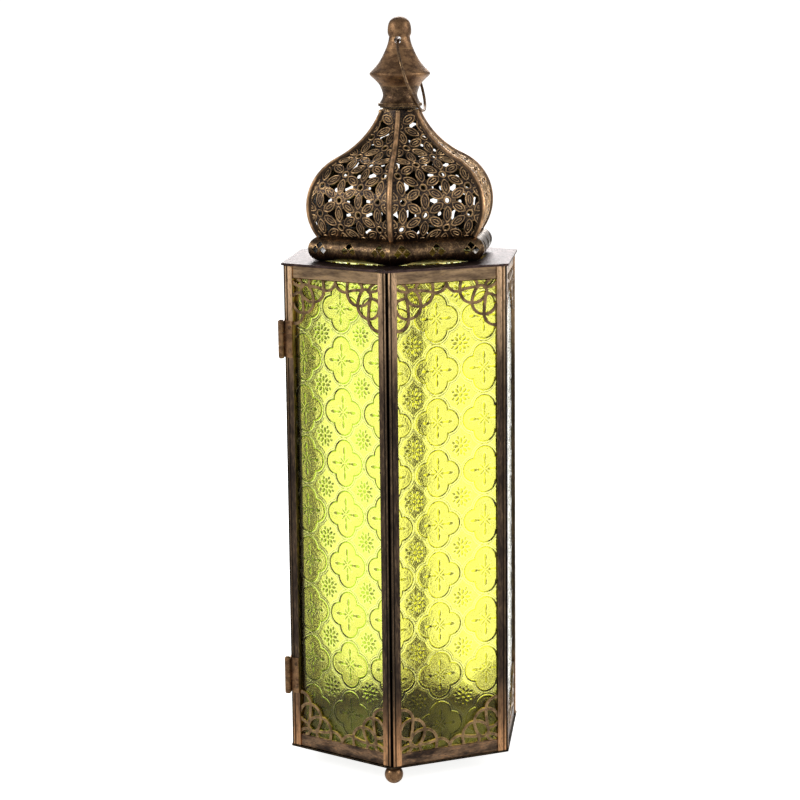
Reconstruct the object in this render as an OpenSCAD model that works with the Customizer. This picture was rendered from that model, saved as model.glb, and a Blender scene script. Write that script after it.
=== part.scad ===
// Ramadan fanous: a hexagonal glazed candle lantern with a hinged door, a rolled
// and pierced collar, an onion dome of six pierced gores, and a turned finial with
// a hanging ring. +Z is up, and the origin is on the axis at floor level. The door
// faces -Y, and its hinges are at the corner at -120 degrees.

/* [Body] */
// Distance from the axis to a corner of the body
hex_r = 90; // [80:1:104]
// Height of the body, over the base plate and the top plate
body_h = 351; // [280:1:420]
// Thickness of the base plate
base_t = 1.2; // [0.8:0.1:2]
// How far the corners of the base plate stand out
base_lip = 0.6; // [0.2:0.1:1.2]
// Thickness of the top plate
top_t = 1.6; // [0.8:0.1:2.4]
// How far the corners of the top plate stand out
top_lip = 1.6; // [0.4:0.1:2]
// Radius of the warm air opening in the top plate
throat_r = 60; // [56:0.5:60.5]

/* [Corner posts] */
// Width of the flat band of a post or stile
band_w = 4.6; // [3.6:0.1:6]
// Width of the bead beside the corner groove
bead_w = 1.4; // [1:0.1:2]
// Width and depth of the fine groove between band and bead
fine_groove = 0.5; // [0.3:0.1:0.8]
// Distance from the corner to the bead
corner_gap = 1; // [0.7:0.1:1.4]
// Depth of the dark corner groove
corner_groove = 3; // [2:0.1:3.6]
// Depth of a frame in front of the glass
frame_d = 2; // [1.8:0.1:3.2]
// Thickness of the lip behind the glass
lip_t = 0.8; // [0.6:0.1:1]

/* [Rails] */
// Height of a rail
rail_h = 9; // [7:0.1:12]
// How far a rail lies behind the bands
rail_set = 0.8; // [0.4:0.1:1.2]
// Chamfer on the glass side of a rail
rail_chamfer = 0.7; // [0.3:0.1:1]
// Sheet thickness of a folded rail
rail_t = 1.1; // [0.8:0.1:1.3]

/* [Glass] */
// Thickness of a glass pane
glass_t = 2.5; // [2:0.1:3]
// How far a pane reaches behind the bands
glass_lap = 1.6; // [1.2:0.1:2]
// How far a pane reaches behind the rails
glass_rest = 3; // [2:0.1:4]
// Play behind and beside a pane
glass_play = 0.1; // [0.05:0.05:0.2]

/* [Filigree] */
// Height of a corner bracket
bracket_h = 32; // [26:0.5:38]
// Width of a bracket's bars
bar_w = 2; // [1.6:0.1:2.4]
// How far the knots at the bars' ends stand out beside the bars
knot_lip = 0.3; // [0.2:0.05:0.5]
// Thickness of a bracket
bracket_t = 1.2; // [0.8:0.1:1.6]

/* [Door] */
// Gap over and under the door, and at its stop
door_gap = 0.5; // [0.3:0.1:0.8]
// Width of the stop behind the door's edge
stop_w = 9; // [7.8:0.1:10]
// Width of the spring catch
catch_w = 14; // [8:1:20]
// Height of the spring catch
catch_h = 7; // [5:0.5:9]
// Length of the catch's foot
catch_l = 12; // [8:1:16]
// Thickness of the catch
catch_t = 0.6; // [0.4:0.1:0.8]

/* [Hinges] */
// Length of a hinge
hinge_l = 25.7; // [20:0.1:32]
// Length of the door's knuckle
knuckle_l = 9.1; // [6:0.1:11]
// Outer radius of a knuckle
knuckle_r = 2.2; // [2:0.1:2.6]
// Radius of a hinge pin
pin_r = 1.1; // [0.9:0.05:1.2]
// Radial play between pin and knuckle
pin_play = 0.05; // [0.02:0.01:0.09]
// Gap between knuckles
knuckle_gap = 0.3; // [0.3:0.05:0.5]
// Radius of a pin's head
pin_head_r = 1.7; // [1.5:0.1:2.1]
// Height of a pin's head
pin_head_h = 0.8; // [0.5:0.1:1.2]
// Thickness of a leaf
leaf_t = 0.8; // [0.6:0.05:0.9]
// Width of a leaf on its band
leaf_w = 7.2; // [6.4:0.1:7.4]
// Distance from the middle of a hinge to the end of the body
hinge_inset = 53.5; // [40:0.5:70]
// Distance from a rivet to the middle of its hinge
rivet_z = 8.5; // [6:0.1:9.5]
// Radius of a rivet's shank
rivet_r = 0.8; // [0.6:0.05:0.9]
// Radius of a rivet's head
rivet_head_r = 1.5; // [1.2:0.1:1.6]
// Height of a rivet's head
rivet_head_h = 0.7; // [0.5:0.1:0.9]

/* [Feet and candle cup] */
// Radius of a ball foot
foot_r = 6.55; // [5.5:0.05:8]
// Height of a foot up to the base plate
foot_h = 13; // [12.2:0.1:15]
// Height of the flat that a foot rests on, above the ball's lowest point
foot_flat = 0.4; // [0.2:0.05:0.8]
// Distance from the corner to a foot
foot_inset = 10; // [6:0.5:12]
// Radius of a foot's collar
foot_collar_r = 4.6; // [4:0.1:5.4]
// Thickness of a foot's collar
foot_collar_t = 1.4; // [1.2:0.1:1.8]
// Radius of a foot's stud
stud_r = 1.6; // [1.2:0.1:2]
// Inner radius of the candle cup
cup_r = 20.5; // [12:0.5:26]
// Depth of the candle cup
cup_h = 11; // [6:0.5:20]
// Radius of the drip dish
dish_r = 31; // [28:0.5:40]
// Height of the drip dish
dish_h = 3.6; // [2:0.1:5]
// Sheet thickness of the cup and dish
cup_t = 0.8; // [0.6:0.1:1.2]

/* [Collar] */
// Radius of the collar's roll
roll_r = 8.6; // [7.6:0.1:9.4]
// Distance from the axis to the middle of the roll's sides
roll_a = 53.2; // [52.4:0.1:54]
// Sheet thickness of the collar
roll_t = 0.9; // [0.7:0.1:1.2]
// Side of a cut diamond
diamond = 4.2; // [3:0.1:4.8]
// Distance between the groups of diamonds
diamond_step = 26; // [23:0.5:27]

/* [Dome] */
// Height from the top plate to the crown
dome_h = 105; // [98:1:110]
// Radius of the bulge
bulge_r = 36; // [34:0.5:37]
// Distance from the axis to the centre of the bulge
bulge_a = 25; // [24.5:0.5:27]
// Height of the centre of the bulge above the top plate
bulge_z = 38; // [36:0.5:40]
// Radius of the hollow flare above the bulge
flare_r = 62; // [60:1:64]
// Angle at which the bulge turns into the flare
turn_angle = 62.7; // [61:0.1:64]
// Sheet thickness of a gore
gore_t = 0.9; // [0.7:0.1:1.2]
// Distance between the round holes
pitch = 19.3; // [17:0.1:22]
// Radius of a round hole
hole_r = 1.65; // [1.2:0.05:2]
// Radius of the ring left around a round hole
eye_r = 6.5; // [5.6:0.1:7]
// Length of the oval left between two round holes
oval_l = 14; // [12:0.1:15]
// Width of that oval
oval_w = 6.6; // [5.8:0.1:7.2]
// Width of the plain edge of a gore
edge_w = 2.8; // [2:0.1:4]
// Width of a seam rib
rib_w = 4; // [3:0.1:5]
// Height of a seam rib above the seam
rib_h = 1.7; // [1.2:0.1:2]

/* [Finial] */
// How far the crown reaches past the ends of the ridges between the gores
crown_lap = 1.26; // [0.8:0.02:2]
// Thickness of the crown disc
crown_t = 1.2; // [0.8:0.1:1.6]
// Radius of the spool's rim
spool_r = 15.5; // [15:0.1:16.5]
// Height of the spool
spool_h = 14; // [11:0.5:17]
// Number of crimps in the spool's rim
crimps = 24; // [12:1:30]
// Radius of the bell's flare
bell_r = 21.3; // [19.5:0.1:23]
// Height of the bell
bell_h = 25.8; // [24:0.2:28]
// Radius of the ball cap
ball_r = 8.3; // [7.8:0.1:9]
// Height of the ball cap and its neck
ball_h = 22.2; // [20:0.2:24]
// Radius of the ball cap's spigot
spigot_r = 3; // [2.9:0.1:3.6]
// Length of the spigot
spigot_l = 8; // [6:0.5:12]
// Radius of the finial bolt
bolt_r = 2; // [1.8:0.1:2.2]
// Play around the bolt and the spigot
bolt_play = 0.1; // [0.05:0.05:0.2]

/* [Hanging ring] */
// Radius of the ring, to the middle of the wire
ring_r = 26; // [25.5:0.5:28]
// Radius of the wire
wire_r = 1; // [0.8:0.05:1.2]
// Radius of the hole for the ring
ring_hole_r = 2.6; // [2.5:0.05:2.9]
// Height of that hole above the bottom of the ball cap's neck
ring_hole_z = 6; // [5.6:0.1:6.6]
// Direction in which the ring leans
ring_turn = 26; // [18:1:32]
// Gap between the ring and the ribs that it leans towards
ring_gap = 0.5; // [0.4:0.1:1]

/* [Hidden] */

// Colours
frame_colour = [0.45, 0.35, 0.24];
dome_colour = [0.28, 0.21, 0.14];
wire_colour = [0.36, 0.27, 0.20];
glass_colour = [0.72, 0.85, 0.10, 0.6];

// Overrun of a cut past the face that it opens
over = 0.5;

// The faces' outward directions and the corners' directions
door_face = -90;
face_dirs = [-30, 30, 90, 150, 210];
corner_dirs = [0, 60, 120, 180];
hinge_corner = -120;
closing_corner = -60;
foot_dirs = [-60, 60, 180];
t30 = tan(30);
c30 = cos(30);

// Levels
frame_z0 = foot_h + base_t;
frame_z1 = foot_h + body_h - top_t;
frame_h = frame_z1 - frame_z0;
dome_z = foot_h + body_h;

// Post and stile section, measured from the corner along a face and into the body
band_end = corner_gap + bead_w + fine_groove + band_w;
slot_s = band_end - glass_lap;
lip_end = band_end - glass_lap / 2;
slot_d = frame_d + glass_t + glass_play;
back_d = slot_d + lip_t;
stop_d = back_d + door_gap;
stop_back = stop_d + lip_t;

// Length of a rail, and half the width of a pane
rail_l = hex_r - 2 * band_end;
pane_half = hex_r / 2 - slot_s - glass_play;

// Points along a smooth curve through the given points
function spline(p, steps = 4) = concat([for (i = [0:len(p) - 2], k = [0:steps - 1])
    let (a = p[max(i - 1, 0)], b = p[i], c = p[i + 1], d = p[min(i + 2, len(p) - 1)],
        f = k / steps)
    ((2 * b) + (c - a) * f + (2 * a - 5 * b + 4 * c - d) * f * f
        + (3 * b - a - 3 * c + d) * f * f * f) / 2], [p[len(p) - 1]]);

module hexagon(r) {
    polygon([for (k = [0:5]) r * [cos(60 * k), sin(60 * k)]]);
}

// Coordinates of a corner: x runs along one face and y runs into the body
module at_corner(dir) {
    rotate([0, 0, dir]) translate([hex_r, 0, 0]) children();
}

// Coordinates of a face: x runs along the face, y into the body, z up
module at_face(dir) {
    rotate([0, 0, dir + 90]) translate([0, -hex_r * c30, 0]) children();
}

// Band, groove and bead of a post or stile, as seen on its face
function front_points() = [
    [corner_gap, 0],
    [corner_gap + bead_w, 0],
    [corner_gap + bead_w, fine_groove],
    [corner_gap + bead_w + fine_groove, fine_groove],
    [corner_gap + bead_w + fine_groove, 0],
    [band_end, 0],
    [band_end, frame_d],
    [slot_s, frame_d],
    [slot_s, slot_d],
    [lip_end, slot_d],
    [lip_end, back_d]];

// A section point, given along and into the face on the +120 or -120 degree side
function placed(points, side) = [for (q = side > 0 ? points : reversed(points))
    [-q[0] / 2 - c30 * q[1], side * (c30 * q[0] - q[1] / 2)]];
function reversed(points) = [for (i = [len(points) - 1:-1:0]) points[i]];

// From the floor of the corner groove over the band to the plane through the corner
function post_points(back) = concat(
    [[corner_gap + corner_groove * t30, corner_groove]],
    front_points(),
    back > back_d ? [[slot_s, back_d], [slot_s, back]] : [],
    [[back * t30, back]]);
groove_floor = [[-corner_groove / c30, 0]];

module post_section() {
    side = post_points(back_d);
    polygon(concat(placed(side, 1), placed([for (i = [0:len(side) - 2]) side[i]], -1),
        groove_floor));
}

// Post beside the door: a band on one side, and the door's stop on the other
module door_post_section() {
    polygon(concat(placed(post_points(stop_back), 1),
        placed([[stop_d * t30, stop_d], [stop_w, stop_d], [stop_w, stop_back]], -1),
        groove_floor));
}

module stile_section() {
    polygon(placed(concat(front_points(), [[corner_gap + back_d * t30, back_d]]), 1));
}

module corner_post(dir) {
    color(frame_colour) translate([0, 0, frame_z0]) at_corner(dir)
        linear_extrude(frame_h) post_section();
}

// Blind holes for the hinges' rivets, in the band on the +120 degree side of a corner
module rivet_holes() {
    for (z = hinge_levels(), s = [-1, 1])
        translate([0, 0, z + s * rivet_z])
            rotate([0, 0, 120]) translate([rivet_s, -over, 0])
                rotate([-90, 0, 0]) cylinder(h = over + rivet_l + glass_play,
                    r = rivet_r + pin_play, $fn = 24);
}

module hinge_post() {
    color(frame_colour) at_corner(hinge_corner) difference() {
        translate([0, 0, frame_z0]) linear_extrude(frame_h) mirror([0, 1]) door_post_section();
        mirror([0, 1, 0]) rivet_holes();
    }
}

module closing_post() {
    color(frame_colour) translate([0, 0, frame_z0]) at_corner(closing_corner)
        linear_extrude(frame_h) door_post_section();
}

// Plates
module base_plate() {
    color(frame_colour) translate([0, 0, foot_h]) difference() {
        linear_extrude(base_t) hexagon(hex_r + base_lip);
        for (a = foot_dirs) rotate([0, 0, a]) translate([hex_r - foot_inset, 0, -over])
            cylinder(h = base_t + 2 * over, r = stud_r + pin_play, $fn = 32);
    }
}

module top_plate() {
    color(frame_colour) translate([0, 0, dome_z - top_t]) difference() {
        linear_extrude(top_t) hexagon(hex_r + top_lip);
        translate([0, 0, -over]) cylinder(h = top_t + 2 * over, r = throat_r, $fn = 96);
    }
}

// Ball foot with a collar and a stud that ends flush with the base plate
module foot(dir) {
    color(dome_colour) rotate([0, 0, dir]) translate([hex_r - foot_inset, 0, 0]) {
        intersection() {
            translate([0, 0, foot_r - foot_flat]) sphere(r = foot_r, $fn = 48);
            cylinder(h = foot_h - foot_collar_t / 2, r = foot_r + over, $fn = 48);
        }
        translate([0, 0, foot_h - foot_collar_t])
            cylinder(h = foot_collar_t, r = foot_collar_r, $fn = 48);
        translate([0, 0, foot_h - foot_collar_t])
            cylinder(h = foot_collar_t + base_t, r = stud_r, $fn = 32);
    }
}

// Candle cup standing in a drip dish with a rolled rim
module candle_cup() {
    color(frame_colour) translate([0, 0, frame_z0]) rotate_extrude($fn = 96)
        polygon([[0, 0], [dish_r - dish_h, 0], [dish_r, dish_h], [dish_r - cup_t, dish_h],
            [dish_r - dish_h - cup_t / 2, cup_t], [cup_r + cup_t, cup_t],
            [cup_r + cup_t, cup_t + cup_h], [cup_r, cup_t + cup_h], [cup_r, cup_t],
            [0, cup_t]]);
}

// Folded rail, its lower edge at z = 0 and its glass edge up, over the given length
module rail(drop = 0) {
    translate([rail_l / 2, 0, 0]) rotate([90, 0, -90]) linear_extrude(rail_l)
        mirror([1, 0]) difference() {
            polygon([[rail_set, drop], [rail_set, rail_h - rail_chamfer],
                [rail_set + rail_chamfer, rail_h], [frame_d, rail_h],
                [frame_d, rail_h - glass_rest], [back_d, rail_h - glass_rest],
                [back_d, drop]]);
            polygon([[rail_set + rail_t, drop - over],
                [rail_set + rail_t, rail_h - glass_rest - rail_t],
                [back_d - rail_t, rail_h - glass_rest - rail_t],
                [back_d - rail_t, drop - over]]);
        }
}

module bottom_rail(dir, drop = 0) {
    color(frame_colour) at_face(dir) translate([0, 0, frame_z0]) rail(drop);
}

module top_rail(dir, drop = 0) {
    color(frame_colour) at_face(dir) translate([0, 0, frame_z1]) mirror([0, 0, 1]) rail(drop);
}

module pane(dir) {
    color(glass_colour) at_face(dir)
        translate([-pane_half, frame_d, frame_z0 + rail_h - glass_rest])
            cube([2 * pane_half, glass_t, frame_h - 2 * (rail_h - glass_rest) - glass_play]);
}

// Filigree bracket: bars between named joints, as shares of the bracket's width and
// height, measured from the corner where stile and rail meet
bracket_w = rail_l / 2;
tip_shares = [1, 0.03];
cusp_a_shares = [0.73, 0.20];
cusp_b_shares = [0.49, 0.475];
cusp_c_shares = [0.245, 0.735];
foot_shares = [0.03, 0.985];
knot_shares = [0.38, 0.14];
hub_shares = [0.20, 0.30];
cap_shares = [0.235, 0.15];
// Each bar: from, to, and how far it bulges as a share of its length
bar_shares = [
    [tip_shares, cusp_a_shares, -0.2],
    [cusp_a_shares, cusp_b_shares, -0.2],
    [cusp_b_shares, cusp_c_shares, -0.2],
    [cusp_c_shares, foot_shares, -0.2],
    [cusp_a_shares, [0.715, 0], 0.04],
    [cusp_a_shares, knot_shares, 0.05],
    [knot_shares, [0.41, 0], -0.06],
    [cusp_b_shares, knot_shares, 0.08],
    [cusp_b_shares, hub_shares, -0.16],
    [knot_shares, cap_shares, 0.2],
    [cap_shares, hub_shares, 0.2],
    [cap_shares, [0.14, 0], 0.1],
    [cap_shares, [0, 0.08], -0.1],
    [hub_shares, [0, 0.37], 0.1],
    [cusp_c_shares, hub_shares, 0.03],
    [cusp_c_shares, [0, 0.55], -0.18]];

// A bar that follows a circle from p to q, with a round knot at each end
module arc_bar(p, q, bulge) {
    chord = norm(q - p);
    sag = abs(bulge) * chord;
    r = (chord * chord / 4 + sag * sag) / (2 * sag);
    side = sign(bulge) * [-(q - p)[1], (q - p)[0]] / chord;
    mid = (p + q) / 2 + side * (sag - r);
    reach = 1 + bar_w / r;
    tip = mid + side * r * reach * 1.3;
    intersection() {
        translate(mid) difference() {
            circle(r = r + bar_w / 2, $fn = 96);
            circle(r = r - bar_w / 2, $fn = 96);
        }
        polygon([mid, mid + (p - mid) * reach, tip, mid + (q - mid) * reach]);
    }
    for (e = [p, q]) translate(e) circle(d = bar_w + 2 * knot_lip, $fn = 24);
}

module bracket() {
    size = [bracket_w, bracket_h];
    intersection() {
        square([bracket_w, bracket_h + bar_w]);
        union() for (b = bar_shares)
            arc_bar([for (i = [0, 1]) b[0][i] * size[i]], [for (i = [0, 1]) b[1][i] * size[i]],
                b[2]);
    }
}

module filigree(dir) {
    opening_h = frame_h - 2 * rail_h;
    color(frame_colour) at_face(dir)
        translate([0, frame_d, frame_z0 + frame_h / 2]) rotate([90, 0, 0])
            linear_extrude(bracket_t)
                for (sx = [0, 1], sy = [0, 1]) mirror([sx, 0]) mirror([0, sy])
                    translate([-bracket_w, -opening_h / 2]) bracket();
}

// Door
module door_stile(dir, flip) {
    color(frame_colour) at_corner(dir) difference() {
        translate([0, 0, frame_z0 + door_gap]) mirror([0, flip, 0])
            linear_extrude(frame_h - 2 * door_gap) stile_section();
        if (flip == 0) rivet_holes();
    }
}

// Spring catch: a bent strip that stands on the base plate behind the door's rail
module door_catch() {
    y0 = back_d + door_gap;
    color(wire_colour) at_face(door_face) translate([catch_w / 2, 0, frame_z0])
        rotate([90, 0, -90]) linear_extrude(catch_w) mirror([1, 0])
            polygon([[y0, 0], [y0 + catch_l, 0], [y0 + catch_l, catch_t],
                [y0 + 2 * catch_t, catch_t], [y0 + catch_t, 2 * catch_t],
                [y0 + catch_t, catch_h - 2 * catch_t], [y0 + 3 * catch_t, catch_h],
                [y0 + 2 * catch_t, catch_h], [y0, catch_h - 2 * catch_t]]);
}

// Hinges. The knuckles' axis stands outside the corner, one knuckle radius in front
// of both faces.
axis_out = knuckle_r / c30;
axis_s = -axis_out / 2;
leaf_s = corner_gap;
rivet_s = leaf_w - rivet_head_r - fine_groove;
rivet_l = frame_d - 2 * fine_groove;
function hinge_levels() = [foot_h + hinge_inset, foot_h + body_h - hinge_inset];

// Leaf plate on the +120 degree side of the corner, and a knuckle of the given span
module leaf_plate(z0, z1, s0) {
    translate([0, 0, z0]) rotate([0, 0, 120]) translate([s0, -leaf_t, 0])
        cube([leaf_w - s0, leaf_t, z1 - z0]);
}

module knuckle(z0, z1) {
    translate([axis_out, 0, z0]) cylinder(h = z1 - z0, r = knuckle_r, $fn = 48);
    leaf_plate(z0, z1, axis_s);
}

module leaf_cuts() {
    translate([axis_out, 0, -hinge_l]) cylinder(h = 2 * hinge_l, r = pin_r + pin_play, $fn = 32);
    for (s = [-1, 1]) translate([0, 0, s * rivet_z]) rotate([0, 0, 120])
        translate([rivet_s, -leaf_t - over, 0]) rotate([-90, 0, 0])
            cylinder(h = leaf_t + 2 * over, r = rivet_r + pin_play, $fn = 24);
}

module door_leaf(level) {
    color(dome_colour) at_corner(hinge_corner) translate([0, 0, level]) difference() {
        union() {
            leaf_plate(-hinge_l / 2, hinge_l / 2, leaf_s);
            knuckle(-knuckle_l / 2, knuckle_l / 2);
        }
        leaf_cuts();
    }
}

module post_leaf(level) {
    color(dome_colour) at_corner(hinge_corner) translate([0, 0, level])
        mirror([0, 1, 0]) difference() {
            union() {
                leaf_plate(-hinge_l / 2, hinge_l / 2, leaf_s);
                knuckle(-hinge_l / 2, -knuckle_l / 2 - knuckle_gap);
                knuckle(knuckle_l / 2 + knuckle_gap, hinge_l / 2);
            }
            leaf_cuts();
        }
}

module hinge_pins() {
    color(wire_colour) for (z = hinge_levels())
        at_corner(hinge_corner) translate([axis_out, 0, z - hinge_l / 2])
            rotate_extrude($fn = 32)
                polygon([[0, -pin_head_h], [pin_head_r, -pin_head_h], [pin_head_r, 0],
                    [pin_r, 0], [pin_r, hinge_l], [pin_head_r, hinge_l],
                    [pin_head_r - pin_head_h / 2, hinge_l + pin_head_h],
                    [0, hinge_l + pin_head_h]]);
}

// Domed rivet through a leaf into the band behind it
module rivets(flip) {
    cap_r = (rivet_head_r * rivet_head_r + rivet_head_h * rivet_head_h) / (2 * rivet_head_h);
    color(wire_colour) at_corner(hinge_corner) mirror([0, flip, 0])
        for (z = hinge_levels(), s = [-1, 1]) translate([0, 0, z + s * rivet_z])
            rotate([0, 0, 120]) translate([rivet_s, -leaf_t, 0]) rotate([90, 0, 0]) {
                intersection() {
                    translate([0, 0, rivet_head_h - cap_r]) sphere(r = cap_r, $fn = 48);
                    cylinder(h = rivet_head_h, r = rivet_head_r, $fn = 32);
                }
                mirror([0, 0, 1]) cylinder(h = leaf_t + rivet_l, r = rivet_r, $fn = 24);
            }
}

// Collar: a rolled half tube, mitred at the corners, with cut diamonds
roll_open = 60;

module collar_side(dir) {
    reach = (roll_a + roll_r) * 2;
    seam = glass_play / 2 / t30;
    rotate([0, 0, dir]) translate([0, 0, dome_z]) difference() {
        intersection() {
            rotate([90, 0, 0]) linear_extrude(reach, center = true)
                translate([roll_a, roll_r]) difference() {
                    circle(r = roll_r, $fn = 64);
                    circle(r = roll_r - roll_t, $fn = 64);
                    polygon([[0, 0], 2 * roll_r * [-cos(roll_open), -sin(roll_open)],
                        2 * roll_r * [-1 - cos(roll_open), 0],
                        2 * roll_r * [-cos(roll_open), sin(roll_open)]]);
                }
            linear_extrude(2 * roll_r + over)
                polygon([[seam, 0], [reach, (reach - seam) * t30], [reach, (seam - reach) * t30]]);
        }
        for (k = [-1, 0, 1], d = diamond_places()) {
            side = diamond;
            translate([roll_a, k * diamond_step + d[0], roll_r]) rotate([0, -d[1], 0])
                rotate([45, 0, 0]) translate([0, -side / 2, -side / 2])
                    cube([roll_r + over, side, side]);
        }
    }
}

// Each diamond of a group: distance along the collar, and angle up the roll
function diamond_places() = [[0, diamond_rise + diamond_mid],
    [-diamond * 0.8, diamond_mid - diamond_rise], [diamond * 0.8, diamond_mid - diamond_rise]];
diamond_mid = 12;
diamond_rise = diamond * 0.42 / roll_r * 180 / PI;

module dome_collar() {
    color(dome_colour) for (k = [0:5]) collar_side(60 * k + 30);
}

// Dome. A gore's outline is a bulge with a hollow flare above it, and u is the distance
// along that outline from the collar up.
gore_z0 = 2 * roll_r;
bulge_c = [bulge_a, bulge_z];
flare_c = bulge_c + (bulge_r + flare_r) * [cos(turn_angle), sin(turn_angle)];
start_angle = asin((gore_z0 - bulge_z) / bulge_r);
end_angle = asin((flare_c[1] - dome_h) / flare_r);
rad = PI / 180;
bulge_u = bulge_r * (turn_angle - start_angle) * rad;
gore_u = bulge_u + flare_r * (turn_angle - end_angle) * rad;
dome_reach = bulge_a + bulge_r + 20 * gore_t;
// Angle by which bulge and flare lap, so that they are one sheet
join_angle = 0.4;

// Tilt of the surface at u, and its distance from the axis and height
function tilt(u) = u < bulge_u ? start_angle + u / bulge_r / rad
    : turn_angle - (u - bulge_u) / flare_r / rad;
function outline(u) = let (n = [cos(tilt(u)), sin(tilt(u))])
    u < bulge_u ? bulge_c + bulge_r * n : flare_c - flare_r * n;

module gore_outline() {
    up = [cos(turn_angle), sin(turn_angle)];
    lap = [cos(turn_angle + join_angle), sin(turn_angle + join_angle)];
    intersection() {
        translate(bulge_c) difference() {
            circle(r = bulge_r, $fn = 180);
            circle(r = bulge_r - gore_t, $fn = 180);
        }
        polygon([bulge_c, bulge_c + 2 * bulge_r * lap, [3 * bulge_r, 3 * bulge_r] + bulge_c,
            [3 * bulge_r + bulge_a, gore_z0], [bulge_a, gore_z0]]);
    }
    intersection() {
        translate(flare_c) difference() {
            circle(r = flare_r + gore_t, $fn = 180);
            circle(r = flare_r, $fn = 180);
        }
        polygon([flare_c, flare_c - 1.5 * flare_r * up, [-flare_r, bulge_z],
            [-flare_r, dome_h], [flare_c[0], dome_h]]);
    }
}

// Space between the two seams of a gore, less a margin at each
module between_seams(margin, z0, z1) {
    s = margin / t30;
    translate([0, 0, z0]) linear_extrude(z1 - z0)
        polygon([[s, 0], [dome_reach, (dome_reach - s) * t30],
            [dome_reach, -(dome_reach - s) * t30]]);
}

// Coordinates on a gore: x along it, y up it, z out of it
module on_gore(t, u) {
    p = outline(u);
    translate([p[0], t, p[1]]) rotate([0, -tilt(u), 0]) rotate([90, 0, 90]) children();
}

// Opening between three round holes, pointing along +x
col_step = pitch * c30;
oval_r = (oval_l * oval_l + oval_w * oval_w) / (4 * oval_w);

module void_shape() {
    difference() {
        polygon([[2 * col_step / 3, 0], [-col_step / 3, pitch / 2], [-col_step / 3, -pitch / 2]]);
        for (a = [0, 120, 240]) rotate(a) {
            translate([2 * col_step / 3, 0]) circle(r = eye_r, $fn = 32);
            translate([-col_step / 3 - oval_r + oval_w / 2, 0]) circle(r = oval_r, $fn = 64);
        }
    }
}

// A hole or an opening is cut where its middle is clear of the seams
function clear_of_seam(t, u, need) = u > need && u < gore_u - need
    && abs(t) < outline(u)[0] * t30 - edge_w - need;

module gore_cuts(phase) {
    cut_h = 8 * gore_t;
    rows = ceil(gore_u / pitch);
    first = 0.95 * pitch;
    for (k = [-3:2], n = [-1:rows]) {
        t = (k + 0.5) * col_step;
        u = first + (n + ((k + phase) % 2 == 0 ? 0 : 0.5)) * pitch;
        if (clear_of_seam(t, u, hole_r))
            on_gore(t, u) translate([0, 0, -cut_h / 2]) cylinder(h = cut_h, r = hole_r, $fn = 32);
        for (s = [1, -1]) {
            tc = t + s * col_step / 3;
            uc = u + pitch / 2;
            if (clear_of_seam(tc, uc, 0) && uc > hole_r && uc < gore_u - pitch / 4)
                on_gore(tc, uc) translate([0, 0, -cut_h / 2]) linear_extrude(cut_h)
                    scale([s, 1]) void_shape();
        }
    }
}

module dome_gore(number) {
    color(dome_colour) translate([0, 0, dome_z]) rotate([0, 0, 60 * number - 150])
        difference() {
            intersection() {
                rotate([90, 0, 0]) linear_extrude(2 * dome_reach * t30, center = true)
                    gore_outline();
                between_seams(glass_play / 2, 0, dome_h + over);
            }
            intersection() {
                gore_cuts((number + 1) % 2);
                between_seams(edge_w, gore_z0 + edge_w, dome_h - edge_w);
            }
        }
}

// Seam rib: a half round strip that straddles the ridge between two gores
rib_rings = 28;
rib_arc = 5;

function rib_ring(u) = let (f = tilt(u), p = outline(u),
    m = norm([cos(f), sin(f) / c30]), n = [cos(f) / m, sin(f) / c30 / m],
    slope = asin(cos(f) / 2), w = rib_w / 2, low = -w * tan(slope),
    section = concat([[w, low]], [for (k = [1:rib_arc]) let (a = 180 * k / (rib_arc + 1))
        [w * cos(a), low + (rib_h - low) * sin(a)]], [[-w, low], [0, 0]]))
    [for (q = section) let (out = q[1] + glass_play)
        [p[0] / c30 + out * n[0], q[0], p[1] + out * n[1]]];

module rib() {
    sides = rib_arc + 3;
    last = gore_u - 1.2 * rib_h;
    first = rib_h * 0.4;
    rings = [for (k = [0:rib_rings]) rib_ring(first + (last - first) * k / rib_rings)];
    polyhedron([for (r = rings, p = r) p],
        concat([[for (i = [0:sides - 1]) i]],
            [for (k = [0:rib_rings - 1], i = [0:sides - 1]) let (j = (i + 1) % sides)
                each [[k * sides + i, (k + 1) * sides + i, (k + 1) * sides + j],
                    [k * sides + i, (k + 1) * sides + j, k * sides + j]]],
            [[for (i = [sides - 1:-1:0]) rib_rings * sides + i]]));
}

module dome_ribs() {
    color(frame_colour) for (k = [0:5]) rotate([0, 0, 60 * k]) translate([0, 0, dome_z]) rib();
}

// Finial, from the crown up
crown_z = dome_z + dome_h;
spool_z = crown_z + crown_t;
bell_z = spool_z + spool_h;
ball_z = bell_z + bell_h;
ring_z = ball_z + ring_hole_z;

crown_r = outline(gore_u)[0] / c30 + crown_lap;

module dome_crown() {
    color(dome_colour) translate([0, 0, crown_z]) difference() {
        cylinder(h = crown_t, r = crown_r, $fn = 64);
        translate([0, 0, -over]) cylinder(h = crown_t + 2 * over, r = bolt_r + bolt_play, $fn = 32);
    }
}

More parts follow.
